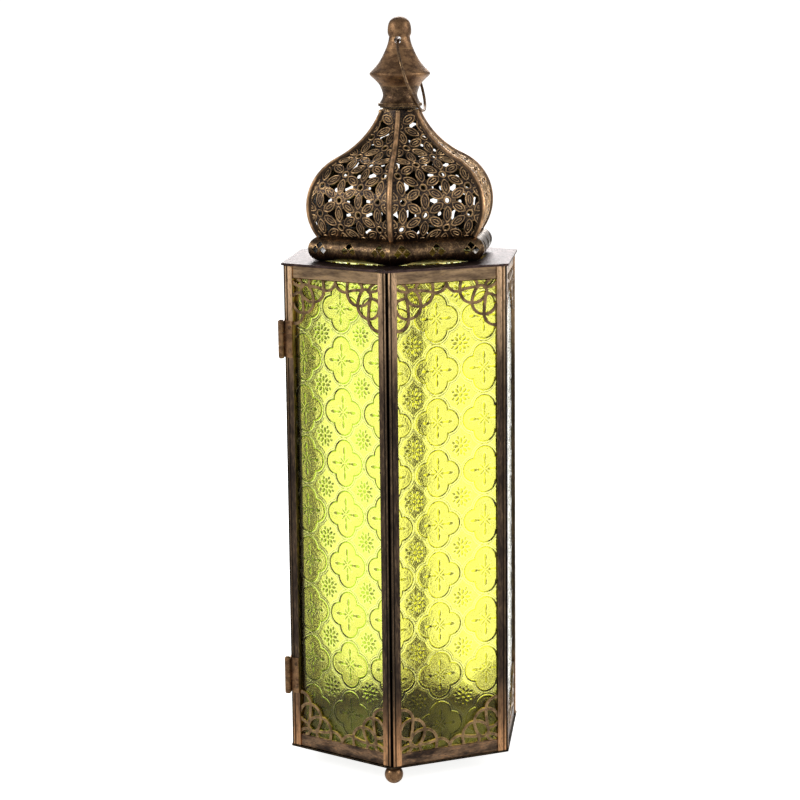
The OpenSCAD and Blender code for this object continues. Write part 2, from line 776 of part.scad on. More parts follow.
// Outlines of the turned pieces, as shares of each piece's radius and height
spool_shares = [[0.985, 0.1], [0.93, 0.16], [0.86, 0.27], [0.80, 0.42], [0.78, 0.55], [0.80, 0.68],
    [0.85, 0.85], [0.91, 1]];
bell_shares = [[0.66, 0], [0.73, 0.08], [0.86, 0.19], [0.945, 0.25], [0.99, 0.295], [1, 0.33],
    [0.98, 0.365], [0.93, 0.41], [0.81, 0.51], [0.69, 0.63], [0.59, 0.765], [0.515, 0.885], [0.45, 1]];
ball_shares = [[1.15, 0], [1.03, 0.12], [0.94, 0.24], [0.89, 0.34], [0.88, 0.37], [0.93, 0.41],
    [0.985, 0.47], [1, 0.55], [0.985, 0.65], [0.945, 0.74], [0.87, 0.82], [0.74, 0.89], [0.53, 0.95],
    [0.27, 0.985], [0, 1]];

module turned(shares, r, h) {
    rotate_extrude($fn = 96)
        polygon(concat([[0, h], [0, shares[0][1] * h]],
            [for (p = spline(shares, 3)) [max(p[0], 0) * r, p[1] * h]]));
}

module finial_spool() {
    rim_h = spool_h * 0.14;
    color(dome_colour) translate([0, 0, spool_z]) difference() {
        union() {
            turned(spool_shares, spool_r, spool_h);
            cylinder(h = rim_h, r = spool_r, $fn = 96);
        }
        translate([0, 0, -over]) cylinder(h = spool_h + 2 * over, r = bolt_r + bolt_play, $fn = 32);
        for (k = [0:crimps - 1]) rotate([0, 0, 360 * k / crimps])
            translate([spool_r + rim_h / 6, 0, -over]) cylinder(h = rim_h + 2 * over,
                r = rim_h / 3, $fn = 16);
    }
}

module finial_bell() {
    color(dome_colour) translate([0, 0, bell_z]) difference() {
        turned(bell_shares, bell_r, bell_h);
        translate([0, 0, -over]) cylinder(h = bell_h + 2 * over, r = bolt_r + bolt_play, $fn = 32);
        translate([0, 0, bell_h - spigot_l - bolt_play])
            cylinder(h = spigot_l + over, r = spigot_r + bolt_play, $fn = 32);
    }
}

module finial_ball() {
    color(dome_colour) translate([0, 0, ball_z]) difference() {
        union() {
            turned(ball_shares, ball_r, ball_h);
            translate([0, 0, -spigot_l]) cylinder(h = spigot_l + over, r = spigot_r, $fn = 32);
        }
        translate([0, 0, -spigot_l - over])
            cylinder(h = spigot_l + over, r = bolt_r + bolt_play / 2, $fn = 32);
        translate([0, 0, ring_hole_z]) rotate([0, 0, ring_turn]) rotate([90, 0, 0])
            cylinder(h = 3 * ball_r, r = ring_hole_r, center = true, $fn = 32);
    }
}

module finial_bolt() {
    head_r = 2 * bolt_r;
    head_h = 1.4 * bolt_r;
    color(wire_colour) {
        translate([0, 0, crown_z - head_h]) cylinder(h = head_h, r = head_r, $fn = 6);
        translate([0, 0, crown_z - head_h])
            cylinder(h = head_h + ball_z - bolt_play - crown_z, r = bolt_r, $fn = 32);
    }
}

// The ring leans down until it is as near as its gap to a rib or a gore. A point of
// its wire is at angle a round it, and heights are taken from the dome's base.
function ring_point(a, lean) = let (x = ring_r * (1 + cos(a)))
    [x * cos(lean), ring_r * sin(a), ring_z - dome_z - x * sin(lean)];

function dome_clearance(p) = let (turn = ring_turn + atan2(p[1], p[0]), r = norm([p[0], p[1]]),
    off_rib = turn - 60 * round(turn / 60), a = r * cos(30 - abs(off_rib)))
    min([for (i = [0:rib_rings]) let (q = outline(bulge_u + (gore_u - bulge_u) * i / rib_rings))
        min(norm([r * cos(off_rib) - q[0] / c30, r * sin(off_rib), p[2] - q[1]]) - rib_w / 2,
            norm([a - q[0], p[2] - q[1]]))]);

function ring_clears(lean) = min([for (a = [-90:5:90]) dome_clearance(ring_point(a, lean))])
    > wire_r + ring_gap;

function ring_lean(lean = 85) = lean <= 0 || ring_clears(lean) ? lean : ring_lean(lean - 0.5);

// Ring of round wire through the neck of the ball cap
module hanging_ring() {
    color(wire_colour) translate([0, 0, ring_z]) rotate([0, 0, ring_turn])
        rotate([0, ring_lean(), 0]) translate([ring_r, 0, 0])
            rotate_extrude($fn = 96) translate([ring_r, 0]) circle(r = wire_r, $fn = 24);
}

base_plate();
candle_cup();
foot(foot_dirs[0]);  // foot_front
foot(foot_dirs[1]);  // foot_right
foot(foot_dirs[2]);  // foot_left
top_plate();
hinge_post();
closing_post();
corner_post(corner_dirs[0]);  // corner_post_1
corner_post(corner_dirs[1]);  // corner_post_2
corner_post(corner_dirs[2]);  // corner_post_3
corner_post(corner_dirs[3]);  // corner_post_4
bottom_rail(face_dirs[0]);  // panel_1_bottom_rail
bottom_rail(face_dirs[1]);  // panel_2_bottom_rail
bottom_rail(face_dirs[2]);  // panel_3_bottom_rail
bottom_rail(face_dirs[3]);  // panel_4_bottom_rail
bottom_rail(face_dirs[4]);  // panel_5_bottom_rail
top_rail(face_dirs[0]);  // panel_1_top_rail
top_rail(face_dirs[1]);  // panel_2_top_rail
top_rail(face_dirs[2]);  // panel_3_top_rail
top_rail(face_dirs[3]);  // panel_4_top_rail
top_rail(face_dirs[4]);  // panel_5_top_rail
pane(face_dirs[0]);  // panel_1_glass
pane(face_dirs[1]);  // panel_2_glass
pane(face_dirs[2]);  // panel_3_glass
pane(face_dirs[3]);  // panel_4_glass
pane(face_dirs[4]);  // panel_5_glass
filigree(face_dirs[0]);  // panel_1_filigree
filigree(face_dirs[1]);  // panel_2_filigree
filigree(face_dirs[2]);  // panel_3_filigree
filigree(face_dirs[3]);  // panel_4_filigree
filigree(face_dirs[4]);  // panel_5_filigree
door_stile(hinge_corner, 0);  // door_hinge_stile
door_stile(closing_corner, 1);  // door_free_stile
bottom_rail(door_face, door_gap);  // door_bottom_rail
top_rail(door_face, door_gap);  // door_top_rail
pane(door_face);  // door_glass
filigree(door_face);  // door_filigree
door_catch();
post_leaf(hinge_levels()[1]);  // upper_hinge_post_leaf
door_leaf(hinge_levels()[1]);  // upper_hinge_door_leaf
post_leaf(hinge_levels()[0]);  // lower_hinge_post_leaf
door_leaf(hinge_levels()[0]);  // lower_hinge_door_leaf
hinge_pins();
rivets(1);  // post_rivets
rivets(0);  // door_rivets
dome_collar();
dome_gore(1);  // dome_gore_1
dome_gore(2);  // dome_gore_2
dome_gore(3);  // dome_gore_3
dome_gore(4);  // dome_gore_4
dome_gore(5);  // dome_gore_5
dome_gore(6);  // dome_gore_6
dome_ribs();
dome_crown();
finial_spool();
finial_bell();
finial_ball();
finial_bolt();
hanging_ring();
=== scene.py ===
"""Looks of a hexagonal candle lantern with embossed green glass and a pierced onion dome.

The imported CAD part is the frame. Shapes are sized in millimetres until a mesh is made. Materials, which
read coordinates, are sized in metres."""

import math

import bpy
import numpy as np
from mathutils import Matrix, Vector


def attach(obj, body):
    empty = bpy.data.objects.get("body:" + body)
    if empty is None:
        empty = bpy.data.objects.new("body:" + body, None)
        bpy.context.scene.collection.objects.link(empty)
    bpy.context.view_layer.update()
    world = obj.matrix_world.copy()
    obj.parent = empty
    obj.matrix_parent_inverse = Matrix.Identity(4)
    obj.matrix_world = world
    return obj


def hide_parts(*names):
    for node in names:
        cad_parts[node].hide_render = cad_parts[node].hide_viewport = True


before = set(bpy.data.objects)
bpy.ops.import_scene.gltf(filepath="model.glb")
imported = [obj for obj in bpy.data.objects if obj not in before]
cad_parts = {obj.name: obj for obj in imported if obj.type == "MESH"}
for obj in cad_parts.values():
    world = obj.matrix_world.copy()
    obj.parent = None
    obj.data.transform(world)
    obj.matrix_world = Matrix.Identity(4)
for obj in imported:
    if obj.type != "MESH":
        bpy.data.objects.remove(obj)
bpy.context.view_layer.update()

MM = 0.001
SEED = 7
SIDES, SIDE_TURN = 6, 60


# Meshes

def make_mesh(name, points, faces, material, smooth=True):
    """A mesh object from points in millimetres."""
    mesh = bpy.data.meshes.new(name)
    mesh.from_pydata((np.asarray(points) * MM).tolist(), [], faces)
    mesh.polygons.foreach_set("use_smooth", np.full(len(mesh.polygons), smooth))
    mesh.materials.append(material)
    piece = bpy.data.objects.new(name, mesh)
    bpy.context.scene.collection.objects.link(piece)
    return piece


def node_points(name):
    """The corners of a CAD node's mesh, in millimetres."""
    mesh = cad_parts[name].data
    places = np.empty(3 * len(mesh.vertices))
    mesh.vertices.foreach_get("co", places)
    return places.reshape(-1, 3) / MM


# Shader nodes

# A Mix node has sockets for each kind of value. These are its colour ones
MIX_COLOURS_IN, MIX_COLOUR_OUT = slice(6, 8), 2


def new_material(name):
    material = bpy.data.materials.new(name)
    material.use_nodes = True
    material.node_tree.nodes.clear()
    return material


def add(tree, kind, *values, **settings):
    """Adds a shader node. Values go to its inputs in order, and a dictionary among them by name."""
    made = tree.nodes.new("ShaderNode" + kind)
    for key, value in settings.items():
        setattr(made, key, value)
    pairs = []
    for place, value in enumerate(values):
        pairs += value.items() if isinstance(value, dict) else [(place, value)]
    for key, value in pairs:
        if value is None:
            continue
        if isinstance(value, bpy.types.NodeSocket):
            tree.links.new(value, made.inputs[key])
        else:
            made.inputs[key].default_value = value
    return made


def rgba(colour):
    return (*colour, 1.0)


def noise(tree, place, scale, detail, rough=0.55):
    made = add(tree, "TexNoise", {"Vector": place, "Scale": scale, "Detail": detail, "Roughness": rough})
    return made.outputs["Fac"]


def stretched(tree, place, along):
    """Coordinates squeezed by the three factors, so that noise on them runs in streaks."""
    return add(tree, "Mapping", {"Vector": place, "Scale": along}).outputs["Vector"]


def graded(tree, value, low, high, start=0.0, end=1.0):
    """The value from low to high moved to start to end, with smooth ends."""
    made = add(tree, "MapRange", value, low, high, start, end, interpolation_type="SMOOTHSTEP")
    return made.outputs["Result"]


def blend(tree, share, first, second):
    made = add(tree, "Mix", {"Factor": share}, data_type="RGBA")
    for socket, value in zip(made.inputs[MIX_COLOURS_IN], (first, second)):
        if isinstance(value, bpy.types.NodeSocket):
            tree.links.new(value, socket)
        else:
            socket.default_value = rgba(value)
    return made.outputs[MIX_COLOUR_OUT]


def maths(tree, operation, first, second=None):
    return add(tree, "Math", first, second, operation=operation).outputs[0]


def dot(tree, first, second):
    return add(tree, "VectorMath", first, second, operation="DOT_PRODUCT").outputs["Value"]


def level_way(tree, place):
    """The level direction from the axis to a place."""
    level = add(tree, "VectorMath", place, (1.0, 1.0, 0.0), operation="MULTIPLY").outputs["Vector"]
    return add(tree, "VectorMath", level, operation="NORMALIZE").outputs["Vector"]


# Metal: patina, streaks, worn edges and painted shade

EDGE_REACH, EDGE_SAMPLES = 0.7 * MM, 4
# Where each soft edge of the painted shade starts and ends, as a distance from a corner of the body
MIDDLE_GROOVE_SIDE = (0.9 * MM, 1.3 * MM)
FINE_GROOVE_SIDES = ((2.1 * MM, 2.4 * MM), (2.9 * MM, 3.3 * MM))
INNER_EDGE, INNER_EDGE_SHARE = (6.6 * MM, 7.4 * MM), 0.5
RIB_FLANK = (1.1 * MM, 1.8 * MM)
# How far from edge on a surface still counts as half an inner side
FACING_SOFT = 0.1
# Noises: scale for places in metres, detail, and roughness where it isn't the usual one
FINE_NOISE, COARSE_NOISE = (900.0, 5.0, 0.65), (170.0, 5.0, 0.6)
BLOTCH_NOISE, SPECK_NOISE = (55.0, 3.0, 0.5), (1500.0, 2.0)
# The values of a noise between which a mark grows from nothing to full
PATINA_RANGE, BLOTCH_RANGE, SPECK_RANGE, END_RANGE = (0.36, 0.64), (0.5, 0.72), (0.52, 0.66), (0.3, 0.62)
FINE_RUB_RANGE, COARSE_RUB_RANGE = (0.46, 0.68), (0.45, 0.62)
WORN_RANGE, POLISH_RANGE = (0.34, 0.6), (0.2, 0.8)
# The least and greatest strength of a mark, where they aren't 0 and 1
LEAST_RUB, LEAST_WORN, LEAST_END, SPECK_SHARE, PAINTED_SHADE_SHARE = 0.15, 0.25, 0.3, 0.55, 0.92
# What wear gains along edges, and how far the roughness goes up and down
EDGE_WEAR, DULLER, SHINIER = 0.25, 0.14, 0.08
METAL_BUMP, FINE_BUMP_SHARE = 0.00004, 0.6
# Levels of the foot and head of the posts, and how far the tints of these ends reach
BODY_LOW, BODY_HIGH = 0.013, 0.364
LOW_END_REACH, HIGH_END_REACH = 0.06, 1.6 * 0.06


def edges(tree, low, high):
    """1 along the edges of a metal piece, 0 on its flat parts."""
    round_normal = add(tree, "Bevel", {"Radius": EDGE_REACH}, samples=EDGE_SAMPLES).outputs[0]
    true_normal = add(tree, "NewGeometry").outputs["Normal"]
    across = dot(tree, round_normal, true_normal)
    return graded(tree, maths(tree, "SUBTRACT", 1.0, across), low, high)


def from_corner(tree, place):
    """The distance round the axis from the nearest corner of the body, which lie at every 60 degrees."""
    split = add(tree, "SeparateXYZ", place)
    x, y = split.outputs["X"], split.outputs["Y"]
    step = math.radians(SIDE_TURN)
    angle = maths(tree, "ADD", maths(tree, "ARCTAN2", y, x), step / 2)
    off = maths(tree, "SUBTRACT", maths(tree, "FLOORED_MODULO", angle, step), step / 2)
    squares = maths(tree, "MULTIPLY", x, x), maths(tree, "MULTIPLY", y, y)
    radius = maths(tree, "SQRT", maths(tree, "ADD", *squares))
    return maths(tree, "MULTIPLY", maths(tree, "ABSOLUTE", off), radius)


def corner_painted_shade(tree, place):
    """Painted shade: 1 in the upright grooves by the corners of the body, and half beyond the posts' inner
    edges.
    """
    away = from_corner(tree, place)
    middle = graded(tree, away, *MIDDLE_GROOVE_SIDE, 1.0, 0.0)
    near_side, far_side = FINE_GROOVE_SIDES
    fine = maths(tree, "MULTIPLY", graded(tree, away, *near_side),
                 graded(tree, away, *far_side, 1.0, 0.0))
    inner = graded(tree, away, *INNER_EDGE, 0.0, INNER_EDGE_SHARE)
    return maths(tree, "MAXIMUM", maths(tree, "MAXIMUM", middle, fine), inner)


def flank_painted_shade(tree, place):
    """Painted shade: 1 on the flanks of the ribs, which run over the corners of the dome."""
    return graded(tree, from_corner(tree, place), *RIB_FLANK)


def inner_side(tree, place):
    """1 on surfaces that look towards the axis, 0 on those that look outward. It lays painted shade inside
    the dome and the collar.
    """
    outward = level_way(tree, place)
    normal = add(tree, "NewGeometry").outputs["Normal"]
    return graded(tree, dot(tree, outward, normal), -FACING_SOFT, FACING_SOFT, 1.0, 0.0)


def metal(name, dark, middle, rubbed, wear, patches, streaks=(1, 1, 1), rough=0.34, ends=None,
          edge_range=(0.02, 0.22), painted_shade=None):
    """Antique plated metal: a dark patina over a middle tone, streaked, mottled and rubbed bright on its
    edges. Ends are the tints towards the foot and the head of the body. Painted shade is the function that
    says where painted shade lies, and its colour."""
    material = new_material(name)
    tree = material.node_tree
    place = add(tree, "TexCoord").outputs["Object"]
    streaked = stretched(tree, place, streaks)
    fine = noise(tree, streaked, *FINE_NOISE)
    coarse = noise(tree, streaked, *COARSE_NOISE)
    blotches = noise(tree, place, *BLOTCH_NOISE)
    tone = blend(tree, graded(tree, coarse, *PATINA_RANGE), dark, middle)
    tone = blend(tree, graded(tree, blotches, *BLOTCH_RANGE, 0.0, patches), tone, dark)
    rub = maths(tree, "MULTIPLY", graded(tree, fine, *FINE_RUB_RANGE),
                graded(tree, coarse, *COARSE_RUB_RANGE, LEAST_RUB, wear))
    if ends:
        height = add(tree, "SeparateXYZ", place).outputs["Z"]
        uneven = graded(tree, coarse, *END_RANGE, LEAST_END, 1.0)
        nearness = (graded(tree, height, BODY_LOW, BODY_LOW + LOW_END_REACH, 1.0, 0.0),
                    graded(tree, height, BODY_HIGH - HIGH_END_REACH, BODY_HIGH))
        for near, colour in zip(nearness, ends):
            tone = blend(tree, maths(tree, "MULTIPLY", near, uneven), tone, colour)
    specks = graded(tree, noise(tree, streaked, *SPECK_NOISE), *SPECK_RANGE, 0.0, SPECK_SHARE)
    tone = blend(tree, specks, tone, dark)
    tone = blend(tree, rub, tone, rubbed)
    worn = maths(tree, "MULTIPLY", edges(tree, *edge_range),
                 graded(tree, coarse, *WORN_RANGE, LEAST_WORN, 1.0))
    tone = blend(tree, maths(tree, "MULTIPLY", worn, wear + EDGE_WEAR), tone, rubbed)
    # Painted shade: a dark colour laid where the given function puts shade
    if painted_shade:
        share, colour = painted_shade
        tone = blend(tree, maths(tree, "MULTIPLY", share(tree, place), PAINTED_SHADE_SHARE), tone, colour)
    polish = graded(tree, fine, *POLISH_RANGE, rough + DULLER, rough - SHINIER)
    height = maths(tree, "ADD", maths(tree, "MULTIPLY", fine, FINE_BUMP_SHARE), blotches)
    bump = add(tree, "Bump", {"Strength": 1.0, "Distance": METAL_BUMP, "Height": height})
    shader = add(tree, "BsdfPrincipled", {"Base Color": tone, "Metallic": 1.0, "Roughness": polish,
                                          "Normal": bump.outputs["Normal"]})
    add(tree, "OutputMaterial", {"Surface": shader.outputs[0]})
    return material


# Near black, used for painted shade
PAINTED_SHADE_BLACK = (0.012, 0.010, 0.009)
DARK = (0.038, 0.027, 0.022)
COPPER = (0.50, 0.265, 0.13)
BRIGHT_COPPER = (0.80, 0.42, 0.20)
BRASS = (1.0, 0.66, 0.39)
GOLD = (0.72, 0.46, 0.20)

FINISHES = {
    # Posts: painted shade in the grooves by the corners
    "post": dict(dark=DARK, middle=(0.092, 0.062, 0.043), rubbed=(0.45, 0.30, 0.16), wear=0.35,
                 patches=0.8, streaks=(1, 1, 0.2), ends=(BRIGHT_COPPER, BRASS), painted_shade=(corner_painted_shade, PAINTED_SHADE_BLACK)),
    "bottom_rail": dict(dark=DARK, middle=(0.26, 0.165, 0.10), rubbed=COPPER, wear=0.75, patches=0.9,
                        streaks=(0.3, 0.3, 1)),
    "top_rail": dict(dark=(0.14, 0.093, 0.06), middle=(0.50, 0.335, 0.195), rubbed=GOLD, wear=0.5,
                     patches=0.35, streaks=(0.2, 0.2, 1)),
    "plate": dict(dark=(0.040, 0.026, 0.025), middle=(0.092, 0.058, 0.054), rubbed=(0.22, 0.14, 0.115),
                  wear=0.4, patches=0.6, rough=0.42),
    # Base plate and candle cup: near black, painted shade for their shadowed place inside the glass
    "inside": dict(dark=PAINTED_SHADE_BLACK, middle=(0.045, 0.033, 0.02), rubbed=(0.19, 0.12, 0.06), wear=0.3,
                   patches=0.7, rough=0.55),
    "filigree": dict(dark=(0.12, 0.078, 0.045), middle=(0.40, 0.255, 0.135), rubbed=GOLD, wear=0.5,
                     patches=0.5),
    # Dome: painted shade on its inward faces
    "dome": dict(dark=(0.017, 0.015, 0.018), middle=(0.055, 0.041, 0.037), rubbed=GOLD, wear=0.5,
                 patches=0.6, rough=0.38, painted_shade=(inner_side, PAINTED_SHADE_BLACK)),
    "relief": dict(dark=(0.21, 0.13, 0.075), middle=(0.74, 0.46, 0.235), rubbed=(1.0, 0.69, 0.34),
                   wear=0.9, patches=0.65, rough=0.36),
    # Ribs: painted shade on their flanks
    "rib": dict(dark=(0.28, 0.165, 0.09), middle=(0.92, 0.55, 0.29), rubbed=(0.95, 0.62, 0.30), wear=0.6,
                patches=0.3, streaks=(1, 1, 0.3), rough=0.42, painted_shade=(flank_painted_shade, DARK)),
    # Collar: painted shade on its inward faces
    "collar": dict(dark=(0.04, 0.026, 0.018), middle=(0.14, 0.086, 0.051), rubbed=GOLD, wear=0.5,
                   patches=0.6, rough=0.32, painted_shade=(inner_side, PAINTED_SHADE_BLACK)),
    "spool": dict(dark=(0.06, 0.035, 0.022), middle=(0.175, 0.103, 0.062), rubbed=GOLD, wear=0.35,
                  patches=0.6, streaks=(1, 1, 1.6), rough=0.4),
    "finial": dict(dark=(0.14, 0.078, 0.044), middle=(0.39, 0.222, 0.115), rubbed=(0.66, 0.42, 0.19),
                   wear=0.35, patches=0.5, streaks=(1, 1, 1.6), rough=0.46),
    "foot": dict(dark=(0.11, 0.06, 0.032), middle=(0.34, 0.19, 0.095), rubbed=(0.6, 0.36, 0.18), wear=0.4,
                 patches=0.6, rough=0.4),
    "wire": dict(dark=(0.10, 0.06, 0.036), middle=(0.25, 0.155, 0.09), rubbed=GOLD, wear=0.5, patches=0.4,
                 rough=0.38, edge_range=(0.9, 1.0)),
}
materials = {look: metal(look + "_bronze", **finish) for look, finish in FINISHES.items()}


# Glass: yellow green, with painted lit and shaded lines and painted highlights where the embossing is

# Millimetres outward from a quatrefoil's outline: a dark line, a ridge, a fine line and a lower ridge
LINE_START, RIDGE_START, RIDGE_END, OUTER_START, OUTER_END = -0.65, 0.25, 1.35, 1.75, 2.6
RIDGE_SOFT, LINE_SOFT, OUTER_LINE_SOFT, OUTER_LINE_SHARE = 0.12, 0.14, 0.15, 0.75
FROST_RANGE = (-0.9, -0.3)
# Heights within the small details, from -1 outside to 1 in their middle
HALO, HALO_SOFT, PETAL_RANGE, PETAL_SHARE = (-0.92, -0.5), 0.1, (-0.35, 0.1), 0.9
# Noises: scale for places in metres, and detail
GLASS_GRAIN, GLASS_WAVES, LINE_PATCHES = (1100.0, 3.0), (120.0, 2.0), (160.0, 2.0)
FROST_GRAIN, LEAST_FROST = (0.3, 0.62), 0.4
PATCH_RANGE, LEAST_PATCH = (0.3, 0.55), 0.6
GLASS_BUMP, GRAIN_BUMP_SHARE = 0.00014, 0.5
CLEAR_ROUGH, FROST_ROUGH, MIRROR_ROUGH = 0.04, 0.09, 0.2
# Seen at a low angle a pane mirrors its surroundings: where that starts and is full, and how strong it gets
GRAZING_RANGE, GRAZING_SHARE = (0.74, 0.9), 0.6

# Tints of a cooler and of a warmer pane of the same glass; the warmer tint paints the yellower light seen
# through that pane
CLEAR_TINTS = ((0.80, 0.86, 0.33), (0.90, 0.86, 0.31))
# Lit tints of the painted lines of a cooler and of a warmer pane
LIT_LINE_TINTS = ((0.22, 0.55, 0.001), (0.95, 0.85, 0.006))
# Frost, the painted highlight of the ridges, and the near black of the lines' painted shade
FROST_TINT, RIDGE_HIGHLIGHT_TINT, DARK_LINE_TINT = (0.76, 0.73, 0.27), (1.0, 1.0, 0.95), (0.001, 0.001, 0.0005)
GLOSS_TINT, SHADOW_TINT = (1.0, 0.9, 0.45), (0.80, 0.88, 0.34)
# What a pane seen from the side mirrors between its lines, and the painted shade on its lines
MIRROR_TINT, MIRROR_LINE_TINT = (0.95, 0.95, 0.92), (0.03, 0.03, 0.02)


def field(tree, name, output="Fac"):
    """A value that each point of a pane carries."""
    return add(tree, "Attribute", attribute_name=name).outputs[output]


def band(tree, value, low, high, soft):
    """1 where the value lies from low to high, with soft ends."""
    above = graded(tree, value, low - soft, low + soft)
    below = graded(tree, value, high - soft, high + soft, 1.0, 0.0)
    return maths(tree, "MULTIPLY", above, below)


def embossed_glass():
    """Yellow green glass that lets the lamps through, with painted lit and shaded lines and painted
    highlights along its embossing. It follows five fields of a pane: "edge", the distance in millimetres from
    the nearest quatrefoil's outline, "detail", the height within small details, "shade", the painted shade of
    the lines, "warmth", one value for the whole pane that paints its light yellower, and "out", the way it
    faces."""
    material = new_material("embossed_green_glass")
    tree = material.node_tree
    place = add(tree, "TexCoord").outputs["Object"]
    edge, detail, shade, warmth = (field(tree, name) for name in ("edge", "detail", "shade", "warmth"))
    grain = noise(tree, place, *GLASS_GRAIN)
    # Painted light: the warmth field moves a pane to the yellower tints
    tint = blend(tree, warmth, *CLEAR_TINTS)
    frost = maths(tree, "MULTIPLY", graded(tree, edge, *FROST_RANGE, 1.0, 0.0),
                  graded(tree, grain, *FROST_GRAIN, LEAST_FROST, 1.0))
    tint = blend(tree, frost, tint, FROST_TINT)
    # Painted highlight: ridges and the halos round small details turn nearly white
    ridges = maths(tree, "MAXIMUM", band(tree, edge, RIDGE_START, RIDGE_END, RIDGE_SOFT),
                   band(tree, edge, OUTER_START, OUTER_END, RIDGE_SOFT))
    halos = band(tree, detail, *HALO, HALO_SOFT)
    tint = blend(tree, maths(tree, "MAXIMUM", ridges, halos), tint, RIDGE_HIGHLIGHT_TINT)
    inner_line = band(tree, edge, LINE_START, RIDGE_START, LINE_SOFT)
    outer_line = maths(tree, "MULTIPLY", band(tree, edge, RIDGE_END, OUTER_START, OUTER_LINE_SOFT),
                       OUTER_LINE_SHARE)
    petals = graded(tree, detail, *PETAL_RANGE, 0.0, PETAL_SHARE)
    lines = maths(tree, "MAXIMUM", maths(tree, "MAXIMUM", inner_line, outer_line), petals)
    uneven = graded(tree, noise(tree, place, *LINE_PATCHES), *PATCH_RANGE, LEAST_PATCH, 1.0)
    # Painted shade: lines go from their lit tint to near black where the shade field is high
    line_tint = blend(tree, maths(tree, "MULTIPLY", shade, uneven), blend(tree, warmth, *LIT_LINE_TINTS),
                      DARK_LINE_TINT)
    tint = blend(tree, lines, tint, line_tint)
    rough = graded(tree, frost, 0.0, 1.0, CLEAR_ROUGH, FROST_ROUGH)
    waves = noise(tree, place, *GLASS_WAVES)
    height = maths(tree, "ADD", maths(tree, "MULTIPLY", grain, GRAIN_BUMP_SHARE), waves)
    bump = add(tree, "Bump", {"Strength": 1.0, "Distance": GLASS_BUMP, "Height": height})
    glass = add(tree, "BsdfPrincipled", {
        "Base Color": tint, "Transmission Weight": 1.0, "IOR": 1.5, "Specular Tint": rgba(GLOSS_TINT),
        "Roughness": rough, "Normal": bump.outputs["Normal"]})
    out = add(tree, "VectorTransform", field(tree, "out", "Vector"), vector_type="VECTOR",
              convert_from="OBJECT", convert_to="WORLD").outputs[0]
    sideways = add(tree, "LayerWeight", 0.5, out).outputs["Facing"]
    mirror = add(tree, "BsdfPrincipled", {
        "Base Color": blend(tree, lines, MIRROR_TINT, MIRROR_LINE_TINT), "Metallic": 1.0,
        "Roughness": MIRROR_ROUGH, "Normal": out})
    mirroring = graded(tree, sideways, *GRAZING_RANGE, 0.0, GRAZING_SHARE)
    seen = add(tree, "MixShader", mirroring, glass.outputs[0], mirror.outputs[0])
    open_way = add(tree, "BsdfTransparent", rgba(SHADOW_TINT))
    shadow_ray = add(tree, "LightPath").outputs["Is Shadow Ray"]
    mixed = add(tree, "MixShader", shadow_ray, seen.outputs[0], open_way.outputs[0])
    add(tree, "OutputMaterial", {"Surface": mixed.outputs[0]})
    return material


glass_material = embossed_glass()


# The CAD nodes that stay in view

# The first of these words in a node's name gives its look. Other nodes, and the rivets, look like wire
LOOKS = (("leaf", "finial"), ("post", "post"), ("stile", "post"), ("bottom_rail", "bottom_rail"),
         ("top_rail", "top_rail"), ("filigree", "filigree"), ("base_plate", "inside"), ("cup", "inside"),
         ("plate", "plate"), ("gore", "dome"), ("collar", "collar"), ("ribs", "rib"),
         ("finial_bolt", "wire"), ("spool", "spool"), ("finial", "finial"), ("crown", "dome"),
         ("foot", "foot"))


def look_of(node):
    for word, look in LOOKS:
        if word in node and "rivets" not in node:
            return look
    return "wire"


for node_name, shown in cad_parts.items():
    shown.data.materials.clear()
    shown.data.materials.append(materials[look_of(node_name)])


# Glass panes with the embossing of figured glass: quatrefoils in a square lattice, rosettes between them

# Step of the grid, depth of the relief, half width of a groove, and heights above the relief's ground
GRID_STEP, RELIEF, GROOVE_HALF = 0.54, 0.6, 0.5
RIDGE_H, OUTER_H, GROUND_H, FROST_H, STIPPLE_H, DETAIL_H = 0.5, 0.32, 0.1, 0.18, 0.03, 0.36
# Radius of a quatrefoil's lobes, and how far out their middles lie, in pitches
LOBE = 0.228
# Ovals round a quatrefoil's and a rosette's middle: how many, turned by, how far out, half length and width
QUATREFOIL_OVALS = ((4, 0.0, 8.6, 2.6, 1.05), (4, 0.0, 3.9, 1.9, 0.8), (4, math.pi / 4, 2.9, 2.4, 0.55))
ROSETTE_OVALS = ((8, 0.0, 4.1, 1.9, 0.95), (8, math.pi / 8, 6.5, 1.3, 0.75))
ROSETTE_MIDDLE_R = 1.3
# Painted shade: lines are darker on slopes that face a pane's dark side. How much of the details' slope
# counts, and how deep
EVEN_SHADE, SHADE_CONTRAST = 0.3, 1.6
DETAIL_SLOPE, DETAIL_DEPTH = 0.8, 0.6
# What the fields say behind a pane, where it is plain
PLAIN_EDGE, PLAIN_DETAIL, PLAIN_SHADE = 4.0, -1.0, 0.0


def mound(along, across, half_l, half_w):
    """1 in the middle of an oval, 0 on its outline and less outside."""
    return 1 - (along / half_l) ** 2 - (across / half_w) ** 2


def ridge(distance, start, end, height):
    middle, half = (start + end) / 2, (end - start) / 2
    return height * np.sqrt(np.clip(1 - ((distance - middle) / half) ** 2, 0, 1))


def folded(angle, count, turn):
    """The angle from the nearest of the spokes, which are count in a full turn."""
    step = 2 * math.pi / count
    return (angle - turn + step / 2) % step - step / 2


def spokes(dx, dy, count, turn, reach, half_l, half_w):
    """Ovals that point away from a middle, each reach from it."""
    radius, angle = np.hypot(dx, dy), folded(np.arctan2(dy, dx), count, turn)
    return mound(radius * np.cos(angle) - reach, radius * np.sin(angle), half_l, half_w)


